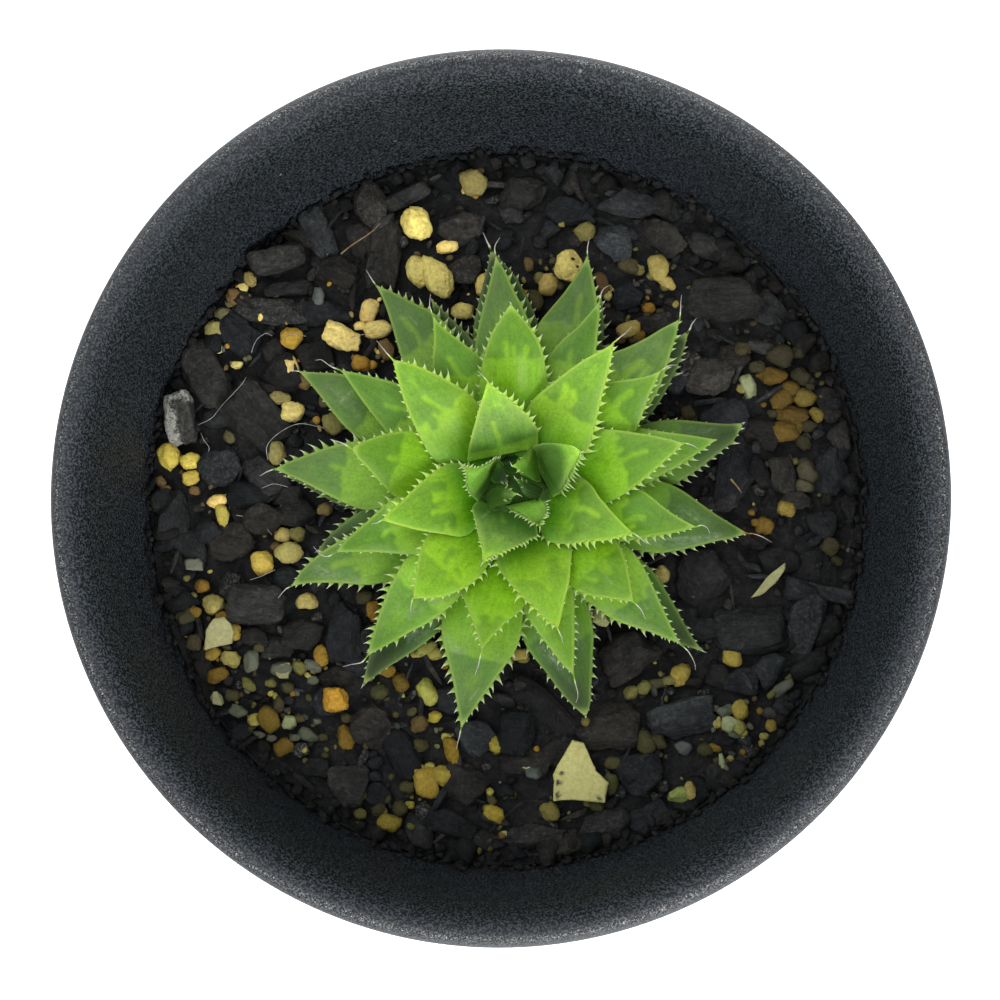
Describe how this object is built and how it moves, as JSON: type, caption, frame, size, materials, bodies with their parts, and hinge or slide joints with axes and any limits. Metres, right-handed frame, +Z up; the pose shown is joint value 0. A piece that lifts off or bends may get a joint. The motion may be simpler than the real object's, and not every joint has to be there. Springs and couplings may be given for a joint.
{
  "type": "potted haworthia",
  "caption": "Small rosette succulent with toothed, bristle-tipped translucent leaves, growing in gritty mix in a round dark plastic nursery pot.",
  "frame": {"origin": "centre of the pot's foot, on the plane it stands on", "axes": "+Z up out of the pot; +X to the right and +Y away from the viewer in the picture, which looks down into the pot"},
  "size_m": [0.09, 0.09, 0.075],
  "materials": {
    "pot_plastic": "matte",
    "growing_mix": "matte",
    "stem_tissue": "satin",
    "leaf_bud": "satin",
    "leaf_upper": "satin",
    "leaf_outer": "satin",
    "pebble_cream": "matte",
    "pebble_orange": "matte",
    "shard_pale": "matte",
    "bark_dark": "matte"
  },
  "bodies": {
    "root": {"pot": "pot_plastic", "soil": "growing_mix", "stem": "stem_tissue", "leaf_01": "leaf_bud", "leaf_02": "leaf_bud", "leaf_03": "leaf_bud", "leaf_04": "leaf_bud", "leaf_05": "leaf_bud", "leaf_06": "leaf_bud", "leaf_07": "leaf_bud", "leaf_08": "leaf_bud", "leaf_09": "leaf_bud", "leaf_10": "leaf_upper", "leaf_11": "leaf_upper", "leaf_12": "leaf_upper", "leaf_13": "leaf_upper", "leaf_14": "leaf_upper", "leaf_15": "leaf_upper", "leaf_16": "leaf_upper", "leaf_17": "leaf_upper", "leaf_18": "leaf_upper", "leaf_19": "leaf_upper", "leaf_20": "leaf_upper", "leaf_21": "leaf_upper", "leaf_22": "leaf_upper", "leaf_23": "leaf_outer", "leaf_24": "leaf_outer", "leaf_25": "leaf_outer", "leaf_26": "leaf_outer", "leaf_27": "leaf_outer", "leaf_28": "leaf_outer", "leaf_29": "leaf_outer", "leaf_30": "leaf_outer", "leaf_31": "leaf_outer", "leaf_32": "leaf_outer", "leaf_33": "leaf_outer", "leaf_34": "leaf_outer", "leaf_35": "leaf_outer", "leaf_36": "leaf_outer", "leaf_37": "leaf_outer", "leaf_38": "leaf_outer", "leaf_39": "leaf_outer", "leaf_40": "leaf_outer", "leaf_41": "leaf_outer", "leaf_42": "leaf_outer", "leaf_43": "leaf_outer", "leaf_44": "leaf_outer", "leaf_45": "leaf_outer", "leaf_46": "leaf_outer", "leaf_47": "leaf_outer", "leaf_48": "leaf_outer", "leaf_49": "leaf_outer", "pebble_cream_double": "pebble_cream", "pebble_cream_hole": "pebble_cream", "pebble_orange_lower": "pebble_orange", "chip_dark_oval": "bark_dark", "chip_log_upper": "bark_dark", "chip_grey_left": "bark_dark", "chunk_dark_left": "bark_dark", "shard_pale": "shard_pale"}
  },
  "joints": []
}
